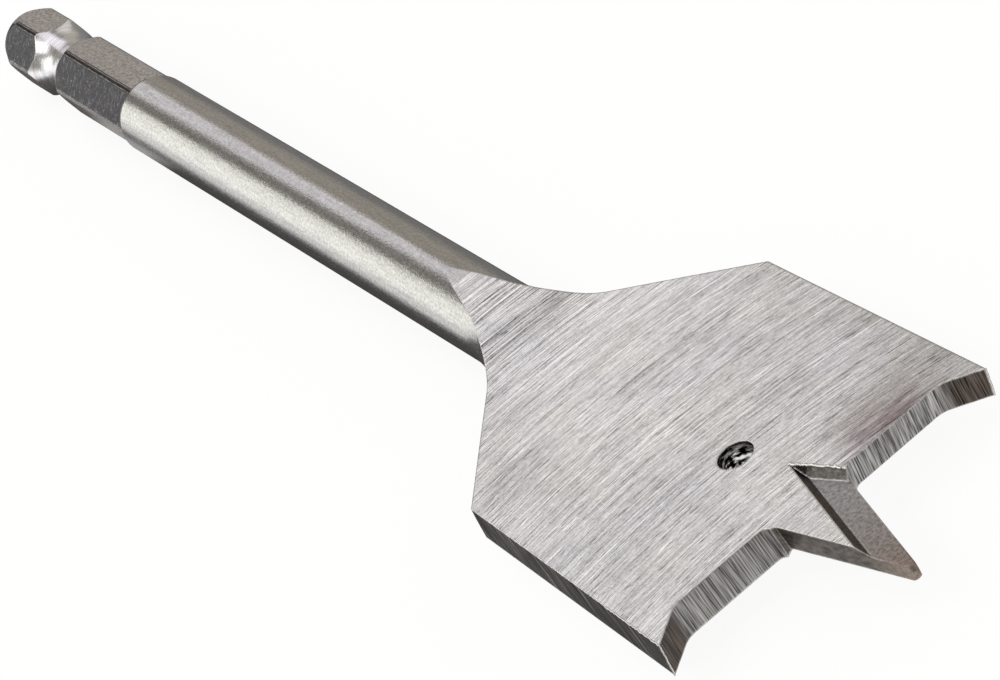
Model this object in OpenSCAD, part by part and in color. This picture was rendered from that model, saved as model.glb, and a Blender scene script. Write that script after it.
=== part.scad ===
// Spade drill bit, forged from one round steel bar and ground flat on both faces.
// The turning axis lies along X, from the end of the shank at the origin to the point at the far end.
// The blade lies level, so Z is square to its ground faces. Lengths are in millimetres, angles in degrees.
// A half turn about the axis carries the bit onto itself: each wing is the other one turned over.

/* [Shank] */
// Width across the flats of the hexagonal shank
hex_across_flats = 6.35; // [5.6:0.05:6.9]
// Length of the hexagonal shank
hex_length = 26.2; // [20:0.1:40]
// Turn of the hexagon about the axis against the blade
hex_turn = 14.4; // [0:0.1:60]
// Radius of the end face, inside the chamfer
end_face_radius = 3; // [2.2:0.05:3.2]
// Length of the chamfer at the end of the shank
end_chamfer_length = 1.7; // [0.4:0.1:2]
// Distance of the middle of the locking groove from the end of the shank
groove_place = 9.2; // [7:0.1:12]
// Width of the locking groove at the surface of the bar
groove_width = 6.3; // [3:0.1:8]
// Diameter at the bottom of the locking groove
groove_root_diameter = 5.4; // [4:0.1:6]

/* [Shaft] */
// Diameter of the round bar
shaft_diameter = 7.14; // [7:0.02:9]
// Length of the plain round shaft, from the hexagon to the neck
shaft_length = 63.9; // [40:0.1:240]

/* [Blade] */
// Width of the bit over its cutting corners, which is the diameter of the hole it bores
blade_width = 31.75; // [26:0.05:40]
// Thickness between the two ground faces
blade_thickness = 2.6; // [2.2:0.1:3.6]
// Length of the blade's sides, from the shoulders to the cutting edges
blade_length = 27.1; // [20:0.1:40]
// Radius of the neck, where the shaft spreads into the shoulders
neck_radius = 14; // [8:0.5:20]
// Slope of the shoulders against the axis
shoulder_angle = 37.5; // [30:0.5:50]
// Narrowing of each side towards the shank, for clearance in the hole
side_taper = 1.4; // [0.5:0.1:3]
// Lean of each side face under its leading edge
side_relief = 5.7; // [2:0.1:10]

/* [Ground faces] */
// Length of shaft in front of the neck that the ground faces run out over
ground_lead = 6.1; // [3:0.1:12]
// Angle at which a ground face first leaves the round of the shaft
ground_entry_angle = 1.2; // [1:0.1:5]
// Radius of the crest where a ground face dips from the shaft
ground_crest_radius = 45; // [30:1:90]
// Radius of the foot where that dip meets the flat of the blade
ground_foot_radius = 10; // [4:0.5:20]

/* [Cutting edges] */
// Lean of the cutting faces behind their leading edges
cut_relief = 14; // [6:0.5:20]
// How far the outlining spurs stand ahead of the cutting edges
spur_height = 2.35; // [1:0.05:4]
// Width of each spur
spur_width = 2.9; // [1.5:0.1:5]
// Lean of each spur's inner face behind its leading edge
spur_relief = 3; // [1:0.5:10]
// Radius of the hollow between a cutting face and its spur
spur_foot_radius = 1.8; // [0.6:0.1:3]

/* [Point] */
// Length of the point ahead of the cutting edges
point_length = 13.9; // [8:0.1:20]
// Width of the point between its cutting edges, at the root
point_root_width = 6.8; // [5:0.1:9]
// Width of the blunt tip
point_tip_width = 0.6; // [0.3:0.1:1.5]
// Radius of the dome that rounds off the tip
point_tip_radius = 0.8; // [0.6:0.1:1.5]
// Radius in the corner between the point and a cutting edge
point_foot_radius = 0.7; // [0.3:0.1:1.2]

/* [Gullets] */
// Depth of the gullet that is coined beside the point in each face
gullet_depth = 0.66; // [0.3:0.02:1]
// Width of the gullet's floor, square to the point's cutting edge
gullet_width = 2.2; // [1:0.1:3]
// How far the gullet's floor reaches behind the cutting edge
gullet_reach = 2.5; // [1:0.1:5]
// Angle of the gullet's rear wall against the axis
gullet_rear_angle = 22; // [10:1:40]
// Slope of the gullet's walls from the vertical
gullet_draft = 45; // [20:1:60]

/* [Hole] */
// Diameter of the hole through the blade
hole_diameter = 3; // [2:0.1:6]
// Distance of the hole behind the cutting edges
hole_setback = 10; // [6:0.1:16]

/* [Hidden] */
$fn = 96;

// Margin by which cutting shapes pass the surfaces that they leave
margin = 3;
// Spare radius of the head's blank outside the finished blade
blank_spare = 0.75;
// Lap by which a blending arc crosses the lines that it joins, so that it doesn't merely graze them
lap = 0.004;

shaft_radius = shaft_diameter / 2;
half_thickness = blade_thickness / 2;
half_width = blade_width / 2;

// The cone that ends the flats starts inside the hexagon and rises at 45 degrees to the round of the bar
flat_radius = hex_across_flats / 2;
hex_circle_radius = flat_radius / cos(30);
cone_inset = 0.5;
cone_start_radius = flat_radius - cone_inset;
cone_start = hex_length - (shaft_radius - cone_start_radius);

// Arc of the locking groove, from its width and depth
groove_depth = shaft_radius - groove_root_diameter / 2;
groove_radius = (groove_width * groove_width / 4 + groove_depth * groove_depth) / (2 * groove_depth);

// Places along the axis
neck_start = hex_length + shaft_length;
neck_end = neck_start + neck_radius * sin(shoulder_angle);
neck_end_radius = shaft_radius + neck_radius * (1 - cos(shoulder_angle));
rear_half_width = half_width - (blade_length + spur_height) * tan(side_taper);
rear_corner = neck_end + (rear_half_width - neck_end_radius) / tan(shoulder_angle);
cutting_edge = rear_corner + blade_length;
spur_tip = cutting_edge + spur_height;
tip = cutting_edge + point_length;
dome_middle = tip - point_tip_radius;
blank_radius = half_width + blank_spare;
blank_corner = neck_end + (blank_radius - neck_end_radius) / tan(shoulder_angle);

// Half the angle between the point's two cutting edges, and where their lines would cross on the axis
point_half_angle = atan((point_root_width - point_tip_width) / 2 / point_length);
point_apex = cutting_edge + point_root_width / 2 / tan(point_half_angle);

// The two arcs of a ground face's run-out: the crest leaves the shaft, the foot lands on the flat
ground_start = neck_start - ground_lead;
crest_x = ground_start - ground_crest_radius * sin(ground_entry_angle);
crest_z = shaft_radius - ground_crest_radius * cos(ground_entry_angle);
foot_z = half_thickness + ground_foot_radius;
arc_distance = ground_crest_radius + ground_foot_radius;
foot_x = crest_x + sqrt(pow(arc_distance, 2) - pow(foot_z - crest_z, 2));
arcs_meet_x = crest_x + (foot_x - crest_x) * ground_crest_radius / arc_distance;
arcs_meet_z = crest_z + (foot_z - crest_z) * ground_crest_radius / arc_distance;

// The gullet's floor lies parallel to the faces, and its corner is where the floor's two wall lines cross
gullet_floor = half_thickness - gullet_depth;
gullet_corner_x = cutting_edge - gullet_reach;
gullet_corner_y = (point_apex - gullet_corner_x) * tan(point_half_angle)
    - gullet_width / cos(point_half_angle);

// Draws its children on one wing, and again after the half turn that gives the other wing
module both_wings() {
    children();
    rotate([180, 0, 0]) children();
}

// Turns a section drawn as [radius, distance along the axis] about the axis of the bit
module turned() {
    rotate([0, 90, 0]) rotate_extrude() children();
}

// Hexagonal shank, milled on the bar so that its corners keep a narrow strip of the round
module shank() {
    difference() {
        intersection() {
            turned() polygon([
                [0, 0],
                [end_face_radius, 0],
                [shaft_radius, end_chamfer_length],
                [shaft_radius, hex_length + margin],
                [0, hex_length + margin]
            ]);
            rotate([hex_turn, 0, 0]) rotate([0, 90, 0]) translate([0, 0, -margin])
                cylinder(r = hex_circle_radius, h = hex_length + 2 * margin, $fn = 6);
        }
        turned() translate([shaft_radius - groove_depth + groove_radius, groove_place]) circle(groove_radius);
    }
}

// Round shaft and the flared head that the blade is ground from
module blank() {
    turned() difference() {
        polygon([
            [0, cone_start],
            [cone_start_radius, cone_start],
            [shaft_radius, hex_length],
            [shaft_radius, neck_start],
            [neck_end_radius, neck_end],
            [blank_radius, blank_corner],
            [blank_radius, dome_middle],
            [0, dome_middle]
        ]);
        translate([shaft_radius + neck_radius, neck_start]) circle(neck_radius + lap);
    }
    translate([dome_middle, 0, 0]) sphere(point_tip_radius);
}

// What grinding takes off the upper face: the flat of the blade and its run-out on the shaft
module ground_off() {
    rotate([90, 0, 0]) linear_extrude(blade_width + 2 * margin, center = true) difference() {
        translate([crest_x, half_thickness]) square([tip + margin - crest_x, blank_radius]);
        translate([crest_x, crest_z]) circle(ground_crest_radius);
        difference() {
            polygon([
                [arcs_meet_x, arcs_meet_z],
                [arcs_meet_x, half_thickness - margin],
                [foot_x, half_thickness - margin],
                [foot_x, half_thickness]
            ]);
            translate([foot_x, foot_z]) circle(ground_foot_radius + lap);
        }
    }
}

// What is taken off beyond one side, along its leading edge on the upper face
module side_off() {
    translate([spur_tip, half_width, half_thickness]) rotate([-side_relief, 0, side_taper])
        translate([-2 * blade_length, 0, -blade_width]) cube([4 * blade_length, blade_width, 2 * blade_width]);
}

// Section, square to the leaning cutting face, of what is cut away between the point and the side.
// It is drawn from the cutting edge. The lean shortens it along the axis.
module beside_point() {
    lean = cos(cut_relief);
    side_angle = atan(tan(point_half_angle) / lean);
    root = point_root_width / 2;
    foot = point_foot_radius / tan(45 - side_angle / 2);
    polygon([
        [(point_apex - cutting_edge) * lean, 0],
        [foot * cos(side_angle), root - foot * sin(side_angle)],
        [0, root + foot],
        [0, blade_width],
        [2 * point_length, blade_width],
        [2 * point_length, 0]
    ]);
    translate([point_foot_radius, root + foot]) circle(point_foot_radius + lap);
}

// What is cut away ahead of one wing, leaning back from the leading edges on the upper face.
// It stops at the inner face of the spur, which leans less.
module front_off() {
    intersection() {
        translate([cutting_edge, 0, half_thickness]) rotate([0, cut_relief, 0])
            linear_extrude(blade_width, center = true) beside_point();
        translate([cutting_edge, half_width - spur_width, half_thickness]) inside_spur();
    }
}

// Everything on the inner side of one spur, whose foot is hollowed to meet the cutting face.
// Its section is square to the line where the two faces would meet: it is drawn along the cutting face
// and straight out of it, from that line.
module inside_spur() {
    spur_angle = atan(spur_height / spur_width);
    cut_out = [cos(cut_relief), 0, -sin(cut_relief)];
    spur_out = [cos(spur_relief) * cos(spur_angle), -cos(spur_relief) * sin(spur_angle), -sin(spur_relief)];
    bend = acos(cut_out * spur_out);
    cut_along = (spur_out - cut_out * cos(bend)) / sin(bend);
    meeting = cross(cut_along, cut_out);
    foot = spur_foot_radius * tan(bend / 2);
    reach = 2 * blade_width;
    multmatrix([
        [cut_along.x, cut_out.x, meeting.x, 0],
        [cut_along.y, cut_out.y, meeting.y, 0],
        [cut_along.z, cut_out.z, meeting.z, 0],
        [0, 0, 0, 1]
    ]) linear_extrude(reach, center = true) {
        polygon([
            [-reach * cos(bend), reach * sin(bend)],
            [-foot * cos(bend), foot * sin(bend)],
            [foot, 0],
            [foot + reach * cos(bend / 2), -reach * sin(bend / 2)],
            [reach, reach]
        ]);
        translate([foot, spur_foot_radius]) circle(spur_foot_radius + lap);
    }
}

// Everything on the inner side of one gullet wall, whose foot runs through the corner of the floor
module inside_wall(heading) {
    size = 4 * point_length;
    rotate([0, -gullet_draft, heading]) translate([0, -size / 2, -size / 2]) cube(size);
}

// Gullet beside the point in the upper face: a flat floor between a wall along the point and a rear wall
module gullet_off() {
    size = 4 * point_length;
    translate([gullet_corner_x, gullet_corner_y, gullet_floor]) intersection() {
        translate([-size / 2, -size / 2, 0]) cube(size);
        inside_wall(90 - point_half_angle);
        inside_wall(gullet_rear_angle - 90);
    }
}

// Hole through the blade, to hang the bit by or to pull a cable back with it
module hole_off() {
    translate([cutting_edge - hole_setback, 0, 0])
        cylinder(d = hole_diameter, h = blade_thickness + 2 * margin, center = true);
}

module spade_bit() {
    color("#b9b5b2") difference() {
        union() {
            shank();
            blank();
        }
        both_wings() ground_off();
        both_wings() side_off();
        both_wings() front_off();
        both_wings() gullet_off();
        hole_off();
    }
}

spade_bit();
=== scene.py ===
import math

import bpy
from mathutils import Matrix, Vector


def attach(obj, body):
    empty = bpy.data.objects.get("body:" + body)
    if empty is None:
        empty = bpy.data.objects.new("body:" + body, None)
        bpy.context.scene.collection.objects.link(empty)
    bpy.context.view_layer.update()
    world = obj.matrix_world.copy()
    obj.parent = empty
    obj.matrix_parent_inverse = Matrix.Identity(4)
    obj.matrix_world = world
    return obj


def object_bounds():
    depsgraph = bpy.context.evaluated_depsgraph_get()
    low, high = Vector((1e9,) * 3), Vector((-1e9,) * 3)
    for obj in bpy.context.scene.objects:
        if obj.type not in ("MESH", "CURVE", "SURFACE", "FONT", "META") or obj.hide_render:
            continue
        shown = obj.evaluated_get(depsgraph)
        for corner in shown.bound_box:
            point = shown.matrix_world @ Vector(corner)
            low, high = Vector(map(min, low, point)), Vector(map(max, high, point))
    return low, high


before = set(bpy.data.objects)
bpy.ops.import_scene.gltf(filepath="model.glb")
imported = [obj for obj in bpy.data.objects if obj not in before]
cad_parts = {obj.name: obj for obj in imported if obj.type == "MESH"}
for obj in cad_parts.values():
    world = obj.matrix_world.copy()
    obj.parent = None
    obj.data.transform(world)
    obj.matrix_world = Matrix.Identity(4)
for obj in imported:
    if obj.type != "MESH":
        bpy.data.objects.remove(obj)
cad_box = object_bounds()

MM_PER_M = 1000
# Places along the bit, in millimetres from the end of the shank
END_FACE = 0.03
GROOVE_START, GROOVE_END = 5.6, 12.9
HEX_END = 26.35
RUN_OUT = 84.0
NECK = 90.5
FIRST_BITE, FULL_BITE = 94.0, 106.0
HOLE = 127.05
GULLET_START = 130.0
# The same, and the distance beside the axis, of a gullet's inner corner, painted dark as shade
SHADED_GULLET_CORNER = 133.2, 1.5
FRONT = 134.0
CUTTING_EDGE = 137.05
BROWN_START, BROWN_END = 139.0, 149.0
TIP = 150.95
# Distances from the axis: the round left on the hexagon's corners, and the groove below its flats
CORNER_RADIUS = 3.49
GROOVE_RADIUS = 3.13
# Distances beside the axis: the point's root, where the ground sides begin, and the inner side of a spur
POINT_ROOT = 3.3
SIDE_START = 4.6
SPUR_FOOT = 12.98
# The hole's radius with a margin, and half the blade's thickness
HOLE_RADIUS = 1.7
HALF_THICKNESS = 1.3
# Angles about the axis, from the blade's width, of a flat of the hexagon and of a corner beside it, both painted
# dark as shade
SHADED_FLAT = math.radians(134.4)
SHADED_CORNER = math.radians(104.4)
# The grinding lines are arcs: their radius, and how far beside the axis their middle lies
GRIND_RADIUS = 74.0
GRIND_MIDDLE = -4.0


def srgb(text):
    """Linear RGBA of an sRGB hex colour."""
    parts = [int(text[i:i + 2], 16) / 255 for i in (0, 2, 4)]
    return tuple(c / 12.92 if c <= 0.04045 else ((c + 0.055) / 1.055) ** 2.4 for c in parts) + (1.0,)


def add(tree, kind, inputs=None, out=0, **settings):
    """Adds a node with its settings, fills or links its inputs, and gives one of its outputs."""
    node = tree.nodes.new(kind if "Node" in kind else "ShaderNode" + kind)
    for name, value in settings.items():
        setattr(node, name, value)
    for socket, value in (inputs or {}).items():
        if isinstance(value, bpy.types.NodeSocket):
            tree.links.new(value, node.inputs[socket])
        else:
            node.inputs[socket].default_value = value
    return node.outputs[out] if len(node.outputs) else None


# The whole bit is one steel with its finishes side by side: drawn bar, milled hexagon, turned groove,
# ground faces and edges, coined gullets and a drilled hole. A finish is picked by place, in millimetres,
# and by the way the surface faces.
steel = bpy.data.materials.new("tool_steel_drawn_ground_and_coined")
steel.use_nodes = True
tree = steel.node_tree
tree.nodes.clear()

place = add(tree, "VectorMath", {0: add(tree, "TexCoord", out="Object"), 1: (MM_PER_M, MM_PER_M, MM_PER_M)},
            operation="MULTIPLY")
x, y, z = [add(tree, "SeparateXYZ", {0: place}, out=axis) for axis in "XYZ"]
normal = add(tree, "NewGeometry", out="Normal")
nx, ny, nz = [add(tree, "SeparateXYZ", {0: normal}, out=axis) for axis in "XYZ"]
up = add(tree, "Math", {0: nz}, operation="ABSOLUTE")
across = add(tree, "Math", {0: ny}, operation="ABSOLUTE")
along = add(tree, "Math", {0: nx}, operation="ABSOLUTE")
# Limits by how far a surface leans from the blade's faces: less than 27 degrees, less than 56, more than 26 and
# more than 60
flat, not_steep, leaning, steep = (up, 0.89, 0.9), (up, 0.55, 0.56), (up, 0.9, 0.89), (up, 0.5, 0.49)
height = add(tree, "Math", {0: z}, operation="ABSOLUTE")
beside = add(tree, "Math", {0: y}, operation="ABSOLUTE")
radius = add(tree, "VectorMath", {0: add(tree, "CombineXYZ", {1: y, 2: z})}, out="Value", operation="LENGTH")
# Which face it is, and the distance towards the leading wing: both are the same after the half turn
face = add(tree, "Math", {0: nz}, operation="SIGN")
lead = add(tree, "Math", {0: y, 1: face}, operation="MULTIPLY")


def marks(per_mm, low, high, seed, start=0.36, end=0.64, detail=2.0, at=place, onto=None):
    """Grain or tool marks, so many per millimetre along each axis, from low to high, added onto others."""
    spread = add(tree, "VectorMath", {0: at, 1: per_mm, 2: (seed, 1.7 * seed, 0.6 * seed)},
                 operation="MULTIPLY_ADD")
    cloud = add(tree, "TexNoise", {"Vector": spread, "Scale": 1.0, "Detail": detail, "Roughness": 0.6})
    mark = add(tree, "MapRange", {"Value": cloud, "From Min": start, "From Max": end,
                                  "To Min": low, "To Max": high})
    return mark if onto is None else add(tree, "Math", {0: mark, 1: onto}, operation="ADD")


def where(*limits):
    """Share, from 0 to 1, to which every value has gone from its first limit to its second."""
    share = 1.0
    for value, none, full in limits:
        gone = add(tree, "MapRange", {"Value": value, "From Min": none, "From Max": full})
        share = add(tree, "Math", {0: gone, 1: share}, operation="MULTIPLY")
    return share


def toned(colour, light):
    """A finish's colour times its light."""
    grey = add(tree, "CombineColor", {0: light, 1: light, 2: light})
    return add(tree, "Mix", {0: 1.0, 6: colour, 7: grey}, out=2, data_type="RGBA", blend_type="MULTIPLY")


def lay(finish, share, colour, light, roughness, relief):
    """Lays a finish over the earlier ones: its colour times its light, its roughness and its relief in mm."""
    return [add(tree, "Mix", {0: share, 6: finish[0], 7: toned(colour, light)}, out=2, data_type="RGBA"),
            add(tree, "Mix", {0: share, 2: finish[1], 3: roughness}),
            add(tree, "Mix", {0: share, 2: finish[2], 3: relief})]


# Drawn bar: satin, with a fine grain a fifth of a millimetre across that frays the edges of its reflections
bar_light = marks((3.2, 5, 5), 0.84, 1.16, 1, detail=3)
bar_light = marks((0.3, 4, 4), -0.07, 0.07, 2, onto=bar_light)
bar_relief = marks((3.6, 5, 5), 0, 0.004, 3)
bar_roughness = marks((3.2, 5, 5), 0.18, 0.25, 4)
finish = [toned(srgb("bab8b6"), bar_light), bar_roughness, bar_relief]

# Milled hexagon: dull, with pale flats and, in turn, flats painted dark as shade by the way they face, and nicks
# and short scratches on both
turned_to = add(tree, "Math", {0: nz, 1: ny}, operation="ARCTAN2")
turned_at = add(tree, "Math", {0: z, 1: y}, operation="ARCTAN2")
shaded_flat, shaded_corner = [
    add(tree, "Math", {0: add(tree, "Math", {0: angle, 1: 3.0, 2: -3.0 * middle}, operation="MULTIPLY_ADD")},
        operation="COSINE")
    for angle, middle in ((turned_to, SHADED_FLAT), (turned_at, SHADED_CORNER))]
hexagon = (x, HEX_END, HEX_END - 0.05)
pale_light = marks((2.6, 4.5, 4.5), 0.7, 1.3, 5, detail=4)
dark_light = marks((3.2, 4.5, 4.5), 0.7, 1.3, 6, detail=3)
dark_light = marks((6, 1.1, 1.1), 0, 2.2, 7, start=0.56, end=0.68, onto=dark_light)
dark_light = marks((2.4, 6, 6), 0, 3.0, 8, start=0.62, end=0.68, detail=3, onto=dark_light)
hex_relief = marks((3.2, 4, 4), 0, 0.004, 9, detail=3)
finish = lay(finish, where(hexagon), srgb("c1bcba"), pale_light, 0.4, hex_relief)
# Painted shade: every other flat is painted dark by the way it faces
finish = lay(finish, where(hexagon, (shaded_flat, 0, 0.1)), srgb("434145"), dark_light, 0.42, hex_relief)
# Painted shade: every other rounded corner is painted darker still
on_shaded_corner = where(hexagon, (radius, CORNER_RADIUS, CORNER_RADIUS + 0.03), (shaded_corner, 0, 0.1))
shaded_corner_light = marks((1.5, 3, 3), 0.5, 1.9, 10, detail=3)
finish = lay(finish, on_shaded_corner, srgb("2b2827"), shaded_corner_light, 0.4, hex_relief)
finish = lay(finish, where((x, 2 * END_FACE, END_FACE)), srgb("8d8784"), dark_light, 0.45, hex_relief)

# Turned groove: bright, with rings a sixth of a millimetre apart left by the tool
groove = where((x, GROOVE_START, GROOVE_START + 0.05), (x, GROOVE_END, GROOVE_END - 0.05))
turned = add(tree, "Math", {0: where((radius, GROOVE_RADIUS, GROOVE_RADIUS - 0.02)), 1: where((along, 0.12, 0.13))},
             operation="MAXIMUM")
in_groove = add(tree, "Math", {0: groove, 1: turned}, operation="MULTIPLY")
ring_light = marks((6, 0.15, 0.15), 0.8, 1.08, 11, detail=3)
ring_roughness = marks((3, 0.3, 0.3), 0.2, 0.28, 12)
ring_relief = marks((5, 0.15, 0.15), 0, 0.002, 13, detail=3)
finish = lay(finish, in_groove, srgb("f0eef0"), ring_light, ring_roughness, ring_relief)

# Ground faces: fine arcs across the blade, a ninth of a millimetre apart, some cut dark and some bright, with
# shorter scratches and a fine grain between them. They fade in where the wheel runs out on the shaft.
offset = add(tree, "Math", {0: lead, 1: -GRIND_MIDDLE}, operation="ADD")
bow = add(tree, "Math", {0: add(tree, "Math", {0: offset, 1: offset}, operation="MULTIPLY"),
                         1: -0.5 / GRIND_RADIUS, 2: x}, operation="MULTIPLY_ADD")
arcs = add(tree, "CombineXYZ", {0: bow, 1: y, 2: z})
face_light = marks((8.5, 0.13, 0.1), 0.8, 1.2, 14, at=arcs)
face_light = marks((2.2, 0.06, 0.05), -0.06, 0.06, 15, at=arcs, onto=face_light)
face_light = marks((9, 0.16, 0.1), 0, -0.55, 16, start=0.58, end=0.68, at=arcs, onto=face_light)
face_light = marks((9.5, 0.18, 0.1), 0, 0.55, 17, start=0.58, end=0.68, at=arcs, onto=face_light)
face_light = marks((0.1, 0.1, 0.1), -0.06, 0.06, 18, onto=face_light)
face_light = marks((10, 0.6, 0.1), 0, -0.6, 38, start=0.58, end=0.66, at=arcs, onto=face_light)
face_light = marks((10.5, 0.7, 0.1), 0, 0.4, 39, start=0.58, end=0.66, at=arcs, onto=face_light)
face_light = marks((7, 5, 1), -0.16, 0.16, 19, detail=3, onto=face_light)
# The lines are deepest where the wheel first bites, just past the neck
deep_lines = marks((6.5, 0.12, 0.1), -0.36, 0.5, 35, at=arcs)
first_bite = add(tree, "Math", {0: where((x, FULL_BITE, FIRST_BITE)), 1: deep_lines}, operation="MULTIPLY")
face_light = add(tree, "Math", {0: face_light, 1: first_bite}, operation="ADD")
face_colour = add(tree, "Mix", {0: marks((0.12, 0.12, 0.1), 0, 1, 34), 6: srgb("cac8c2"), 7: srgb("c6c5c4")},
                  out=2, data_type="RGBA")
faded_in = marks((1.1, 0.5, 0.5), -1.5, 1.5, 20, onto=x)
frayed = marks((1.4, 1.4, 1.4), -0.08, 0.08, 36, detail=3, onto=across)
ground = where((faded_in, RUN_OUT + 1.5, RUN_OUT + 4), (frayed, 0.22, 0.12), flat)
line_roughness = marks((8.5, 0.13, 0.1), 0.15, 0.24, 21, at=arcs)
line_relief = marks((8.5, 0.13, 0.1), 0, 0.003, 14, at=arcs)
finish = lay(finish, ground, face_colour, face_light, line_roughness, line_relief)
# Heat of the grinding: a dull mauve patch behind each leading cutting edge
heat = where((x, CUTTING_EDGE - 6, CUTTING_EDGE - 1), (lead, 3, 6), (lead, 15, 11), (up, 0.98, 0.99),
             (height, HALF_THICKNESS - 0.05, HALF_THICKNESS - 0.04))
heat = add(tree, "Math", {0: heat, 1: marks((1.2, 0.25, 0.1), 0.45, 1, 22, detail=3)}, operation="MULTIPLY")
finish = lay(finish, heat, srgb("887b79"), face_light, 0.26, line_relief)

# Coined gullets: dull floor with a fine even grain, browner towards the tip, and walls painted darker as shade, one
# darker than the other by the way it faces
coin_light = marks((3.2, 3.2, 3.2), 0.72, 1.28, 23, detail=4)
coin_relief = marks((3.2, 3.2, 3.2), 0, 0.01, 24, detail=3)
gullet = (x, GULLET_START, GULLET_START + 0.1), (height, HALF_THICKNESS - 0.05, HALF_THICKNESS - 0.06)
coin = add(tree, "Mix", {0: where((x, BROWN_START, BROWN_END)), 6: srgb("9f9d9b"), 7: srgb("928881")},
           out=2, data_type="RGBA")
finish = lay(finish, where(*gullet, not_steep), coin, coin_light, 0.42, coin_relief)
leads_in = add(tree, "Math", {0: ny, 1: face}, operation="MULTIPLY")
shaded_gullet_wall = *gullet, not_steep, leaning
# Painted shade on the walls: the wall facing one way is painted a little darker than the floor, the other much
# darker
finish = lay(finish, where(*shaded_gullet_wall, (leads_in, -0.1, -0.2)), srgb("817d7a"), coin_light, 0.4, coin_relief)
finish = lay(finish, where(*shaded_gullet_wall, (leads_in, 0.1, 0.2)), srgb("625752"), coin_light, 0.42, coin_relief)

# Painted shade: the inner corner of each gullet is painted dark
from_shaded_corner = add(tree, "VectorMath", {0: add(tree, "CombineXYZ", {0: x, 1: lead}), 1: (*SHADED_GULLET_CORNER, 0)},
                  out="Value", operation="DISTANCE")
from_shaded_corner = marks((3, 3, 3), -0.3, 0.3, 37, detail=3, onto=from_shaded_corner)
finish = lay(finish, where(*gullet, (from_shaded_corner, 1.5, 0.8)), srgb("2c2826"), coin_light, 0.45, coin_relief)

# Ground edges: lines through the thickness on the cutting faces, duller and browner on the spurs and the point
edge_light = marks((0.5, 9, 0.25), 0.2, 1.65, 25)
edge_light = marks((0.4, 1.1, 0.1), -0.16, 0.16, 26, onto=edge_light)
edge_light = marks((0.5, 10, 0.25), 0, 0.8, 27, start=0.58, end=0.68, onto=edge_light)
edge_relief = marks((0.5, 9, 0.25), 0, 0.003, 25)
front = (x, FRONT, FRONT + 0.1), steep
finish = lay(finish, where(*front), srgb("949290"), edge_light, 0.3, edge_relief)
on_spur = where(*front, (beside, SPUR_FOOT - 0.6, SPUR_FOOT + 0.5))
finish = lay(finish, on_spur, srgb("554d47"), edge_light, 0.36, edge_relief)
on_point = where(*front, (beside, POINT_ROOT + 0.3, POINT_ROOT))
point_light = marks((1.2, 1.2, 2.4), 0.5, 1.5, 28, detail=4)
finish = lay(finish, on_point, srgb("635c57"), point_light, 0.4, coin_relief)

# Ground sides: dull, with slanted lines a third of a millimetre apart
wing = add(tree, "Math", {0: y}, operation="SIGN")
rise = add(tree, "Math", {0: z, 1: wing}, operation="MULTIPLY")
slanted = add(tree, "Math", {0: rise, 1: -0.9, 2: x}, operation="MULTIPLY_ADD")
slants = add(tree, "CombineXYZ", {0: slanted, 1: z, 2: beside})
side_light = marks((3.2, 0.2, 0.1), 0.05, 1.1, 29, detail=3, at=slants)
side_light = marks((3.6, 0.2, 0.1), 0, 3.6, 30, start=0.56, end=0.68, at=slants, onto=side_light)
side_relief = marks((3.2, 0.2, 0.1), 0, 0.02, 29, detail=3, at=slants)
on_side = where((x, NECK, NECK + 0.1), (beside, SIDE_START, SIDE_START + 0.1), steep, (nx, 0.5, 0.49))
finish = lay(finish, on_side, srgb("787470"), side_light, 0.38, side_relief)

# Drilled hole: torn by the drill, with painted shade darkening it towards the rims and painted glints half way
# through, standing for light from below on the far wall
from_hole = add(tree, "VectorMath", {0: add(tree, "CombineXYZ", {0: x, 1: y}), 1: (HOLE, 0, 0)},
                out="Value", operation="DISTANCE")
painted_hole_glints = marks((1.1, 1.1, 3.2), 0, 3.8, 31, start=0.46, end=0.6, detail=4)
painted_rim_shade = add(tree, "MapRange", {"Value": height, "From Min": 0.2, "From Max": 1.1,
                                     "To Min": 0.62, "To Max": 0.05})
painted_hole_light_and_shade = add(tree, "Math", {0: painted_hole_glints, 1: painted_rim_shade}, operation="MULTIPLY")
bored_relief = marks((0.6, 0.6, 3.2), 0, 0.012, 32, detail=3)
in_hole = where((from_hole, HOLE_RADIUS, HOLE_RADIUS - 0.01), steep)
finish = lay(finish, in_hole, srgb("d8d4ce"), painted_hole_light_and_shade, 0.3, bored_relief)

# Rubbed edges and painted highlight: the sharp edges are rubbed bright in places, and the pale colour there is also
# a painted highlight for the light that a rounded edge catches
rounded = add(tree, "Bevel", {"Radius": 0.0002}, samples=6)
sharp = add(tree, "VectorMath", {0: rounded, 1: normal}, out="Value", operation="DOT_PRODUCT")
rubbed_and_highlight_spots = marks((2.2, 2.2, 2.2), 0.3, 1, 33, detail=3)
rubbed_and_highlit_edges = add(tree, "Math", {0: where((sharp, 0.995, 0.95)), 1: rubbed_and_highlight_spots}, operation="MULTIPLY")
finish = lay(finish, rubbed_and_highlit_edges, srgb("efedea"), 1.0, 0.3, coin_relief)

# Heat at the tip of the point: the steel goes brown there
at_tip = where((x, TIP - 5, TIP - 0.5), (x, TIP + 1, TIP))
finish = lay(finish, at_tip, srgb("93857a"), coin_light, 0.38, coin_relief)

relief = add(tree, "Bump", {"Height": finish[2], "Distance": 0.001, "Strength": 1.0, "Normal": rounded})
surface = add(tree, "BsdfPrincipled", {"Base Color": finish[0], "Metallic": 1.0, "Roughness": finish[1],
                                       "Normal": relief})
add(tree, "OutputMaterial", {"Surface": surface})

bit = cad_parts["spade_bit"]
bit.material_slots[0].material = steel

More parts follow.
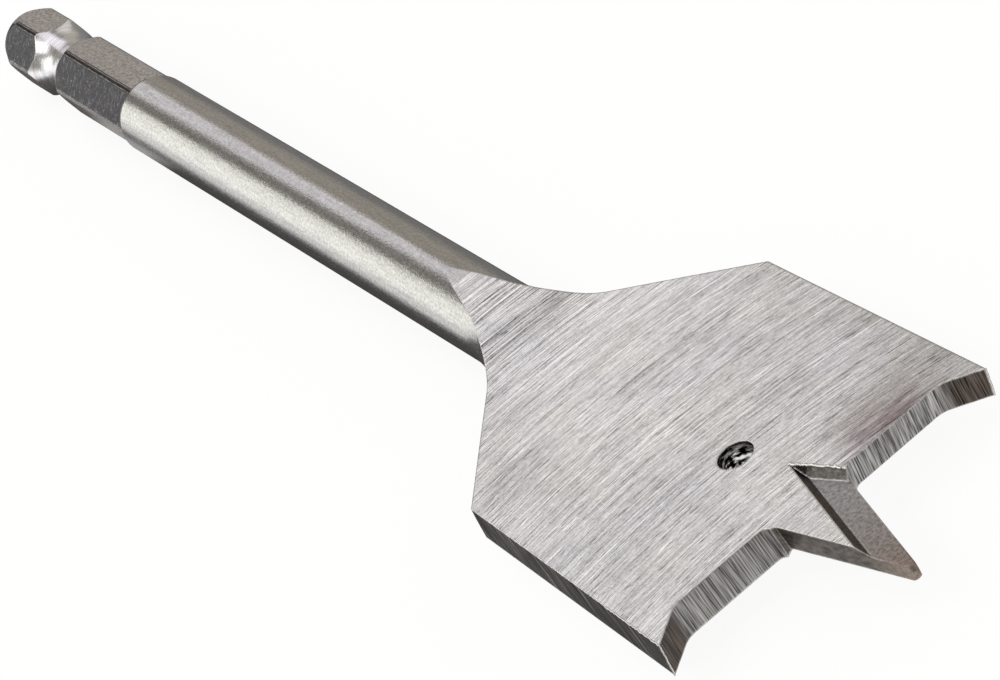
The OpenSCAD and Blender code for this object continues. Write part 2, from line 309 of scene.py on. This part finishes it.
# Burrs: thin ragged ridges of torn steel, left standing along the gullets' rear edges, the spurs' outer edges
# and the ends of the sides. Each line is in millimetres on one wing; the half turn gives it on the other.
# The sizes are the spacing of a burr's points, its greatest radius and its wander, in metres.
GULLET_BURR = (
    [((132.4, 1.54, HALF_THICKNESS), (137.0, 3.4, HALF_THICKNESS))],
    {"Spacing": 0.00016, "Radius": 0.00015, "Wander": 0.00006})
SPUR_BURR = (
    [((139.4, 15.875, HALF_THICKNESS), (139.007, 15.606, -HALF_THICKNESS)),
     ((131.0, 15.41, -HALF_THICKNESS), (139.0, 15.6, -HALF_THICKNESS))],
    {"Spacing": 0.00013, "Radius": 0.00007, "Wander": 0.00003})

# Torn steel: fresh and bright, with a grain a sixth of a millimetre across that makes it glint
torn = bpy.data.materials.new("tool_steel_torn_burr")
torn.use_nodes = True
tree = torn.node_tree
tree.nodes.clear()
torn_grain = add(tree, "TexNoise", {"Vector": add(tree, "TexCoord", out="Object"), "Scale": 6000.0, "Detail": 2.0})
torn_tone = add(tree, "Mix", {0: torn_grain, 6: srgb("dedbd6"), 7: srgb("fbf9f5")}, out=2, data_type="RGBA")
torn_roughness = add(tree, "MapRange", {"Value": torn_grain, "To Min": 0.25, "To Max": 0.4})
torn_surface = add(tree, "BsdfPrincipled", {"Base Color": torn_tone, "Metallic": 1.0, "Roughness": torn_roughness})
add(tree, "OutputMaterial", {"Surface": torn_surface})

burr = bpy.data.node_groups.new("burr_along_edges", "GeometryNodeTree")
burr.interface.new_socket("Geometry", in_out="INPUT", socket_type="NodeSocketGeometry")
burr_sizes = {}
for size in ("Spacing", "Radius", "Wander"):
    burr_sizes[size] = burr.interface.new_socket(size, in_out="INPUT", socket_type="NodeSocketFloat").identifier
burr.interface.new_socket("Geometry", in_out="OUTPUT", socket_type="NodeSocketGeometry")
given = {name: add(burr, "NodeGroupInput", out=name) for name in ("Geometry", *burr_sizes)}
edge = add(burr, "GeometryNodeMeshToCurve", {"Mesh": given["Geometry"]})
edge = add(burr, "GeometryNodeResampleCurve", {"Curve": edge, "Length": given["Spacing"]}, mode="LENGTH")
swell = add(burr, "FunctionNodeRandomValue", {2: 0.15, 3: 1.0, "Seed": 4}, out=1)
edge = add(burr, "GeometryNodeSetCurveRadius", {"Curve": edge, "Radius": swell})
shift = add(burr, "FunctionNodeRandomValue", {0: (-1, -1, -1), 1: (1, 1, 1), "Seed": 9}, data_type="FLOAT_VECTOR")
shift = add(burr, "VectorMath", {0: shift, "Scale": given["Wander"]}, operation="SCALE")
edge = add(burr, "GeometryNodeSetPosition", {"Geometry": edge, "Offset": shift})
profile = add(burr, "GeometryNodeCurvePrimitiveCircle", {"Resolution": 5, "Radius": given["Radius"]})
ridge = add(burr, "GeometryNodeCurveToMesh", {"Curve": edge, "Profile Curve": profile, "Fill Caps": True})
ridge = add(burr, "GeometryNodeRealizeInstances", {"Geometry": ridge})
ridge = add(burr, "GeometryNodeSetMaterial", {"Geometry": ridge, "Material": torn})
add(burr, "NodeGroupOutput", {"Geometry": ridge})

for name, (lines, sizes) in (("gullet_burrs", GULLET_BURR), ("spur_burrs", SPUR_BURR)):
    ends = [(end[0] / MM_PER_M, way * end[1] / MM_PER_M, way * end[2] / MM_PER_M)
            for line in lines for way in (1, -1) for end in line]
    burr_mesh = bpy.data.meshes.new(name)
    burr_mesh.from_pydata(ends, [(i, i + 1) for i in range(0, len(ends), 2)], [])
    burrs = bpy.data.objects.new(name, burr_mesh)
    bpy.context.scene.collection.objects.link(burrs)
    grow = burrs.modifiers.new("burr", "NODES")
    grow.node_group = burr
    for size, amount in sizes.items():
        grow[burr_sizes[size]] = amount
    grown = bpy.data.meshes.new_from_object(burrs.evaluated_get(bpy.context.evaluated_depsgraph_get()))
    burrs.modifiers.clear()
    burrs.data = grown
    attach(burrs, "root")

# Floor: matt grey paper that glows white for the camera, with the bit's own faint shadow. For the steel it glows
# only in painted patches, so that it mirrors them bright on the left, under the blade and in front, and dark close
# beside the shaft.
floor_height = cad_box[0][2]
reach = 3.0
floor_mesh = bpy.data.meshes.new("floor")
floor_mesh.from_pydata([(-reach, -reach, floor_height), (reach, -reach, floor_height),
                        (reach, reach, floor_height), (-reach, reach, floor_height)], [], [(0, 1, 2, 3)])
floor = bpy.data.objects.new("floor", floor_mesh)
bpy.context.scene.collection.objects.link(floor)
paper = bpy.data.materials.new("paper_matt_pale")
paper.use_nodes = True
tree = paper.node_tree
tree.nodes.clear()
floor_place = add(tree, "TexCoord", out="Object")
floor_x, floor_y = [add(tree, "SeparateXYZ", {0: floor_place}, out=axis) for axis in "XY"]
floor_beside = add(tree, "Math", {0: floor_y}, operation="ABSOLUTE")
# Each painted glow patch, seen only in the steel: how bright it glows, and for each value the limits, in metres,
# between which it fades in
patches = [(0.32, (floor_x, 0.137, 0.14)),
           (0.8, (floor_x, 0.1, 0.108), (floor_beside, 0.016, 0.0155)),
           (0.4, (floor_x, 0.012, 0.016), (floor_x, 0.03, 0.024), (floor_beside, 0.009, 0.006)),
           (1.0, (floor_x, 0.1, 0.09), (floor_y, -0.0105, -0.0145)),
           (0.15, (floor_x, 0.1, 0.108), (floor_y, -0.0155, -0.016)),
           (0.13, (floor_x, 0.1, 0.09), (floor_y, 0.006, 0.012))]
brightest = 0.0
for bright, *limits in patches:
    for value, none, full in limits:
        bright = add(tree, "MapRange", {"Value": value, "From Min": none, "From Max": full, "To Max": bright})
    brightest = add(tree, "Math", {0: bright, 1: brightest}, operation="MAXIMUM")
mirrored = add(tree, "Math", {0: add(tree, "LightPath", out="Is Glossy Ray"), 1: brightest}, operation="MULTIPLY")
seen = add(tree, "LightPath", out="Is Camera Ray")
glow = add(tree, "Math", {0: seen, 1: 0.9, 2: mirrored}, operation="MULTIPLY_ADD")
matt = add(tree, "BsdfDiffuse", {"Color": srgb("6c6c6b")})
glowing = add(tree, "Emission", {"Color": srgb("ffffff"), "Strength": glow})
add(tree, "OutputMaterial", {"Surface": add(tree, "AddShader", {0: matt, 1: glowing})})
floor_mesh.materials.append(paper)

# Studio: a dim room, a long softbox from behind the shank to overhead, two on the left and a weak one at the
# back. Those in front, on the right and overhead light the sides that the camera doesn't see.
BIT_MIDDLE = Vector((0.09, 0, 0))
world = bpy.data.worlds.new("dim_room")
bpy.context.scene.world = world
world.use_nodes = True
world.node_tree.nodes["Background"].inputs["Color"].default_value = srgb("c4bfb6")
world.node_tree.nodes["Background"].inputs["Strength"].default_value = 0.48


def softbox(name, direction, width, depth, watts, colour):
    """Area light one metre from the middle of the bit."""
    light = bpy.data.lights.new(name, "AREA")
    light.shape = "RECTANGLE"
    light.size = width
    light.size_y = depth
    light.energy = watts
    light.color = srgb(colour)[:3]
    lamp = bpy.data.objects.new(name, light)
    away = Vector(direction).normalized()
    facing = away.to_track_quat("Z", "Y").to_matrix().to_4x4()
    lamp.matrix_world = Matrix.Translation(BIT_MIDDLE + away) @ facing
    bpy.context.scene.collection.objects.link(lamp)


softbox("softbox_high", (-0.62, 0.09, 0.74), 0.38, 1.3, 1.3, "f7f6ff")
softbox("softbox_low", (-0.829, -0.51, 0.2), 0.5, 0.46, 1.0, "fcfffb")
softbox("softbox_left", (-0.29, -0.53, 0.8), 1.1, 0.5, 2.3, "ffffff")
softbox("softbox_back", (-0.829, 0.5, 0.24), 0.5, 0.6, 0.2, "f0e6d8")
softbox("softbox_front_left", (0.62, -0.7, 0.4), 1.0, 0.7, 1.3, "ffffff")
softbox("softbox_front_right", (0.62, 0.7, 0.4), 1.0, 0.7, 1.3, "ffffff")
softbox("softbox_right", (-0.3, 0.75, 0.52), 0.9, 0.6, 0.75, "ffffff")
softbox("softbox_top", (0.25, 0.05, 0.97), 0.6, 0.5, 0.6, "ffffff")

# Camera: solved from the outlines in the photograph
camera_data = bpy.data.cameras.new("camera")
camera_data.sensor_width = 36
camera_data.lens = 203.92
camera_data.clip_start = 0.01
camera_data.clip_end = 20
camera = bpy.data.objects.new("camera", camera_data)
right = Vector((0.4774284, 0.74868323, -0.45992993))
down = Vector((0.29033555, -0.62845488, -0.72162991))
ahead = Vector((-0.82931743, 0.2109926, -0.51741156))
eye = Vector((0.460886, -0.095272, 0.230277))
turn = Matrix((right, -down, -ahead)).transposed().to_4x4()
camera.matrix_world = Matrix.Translation(eye) @ turn
bpy.context.scene.collection.objects.link(camera)
bpy.context.scene.camera = camera

bpy.context.scene.view_settings.view_transform = "Standard"
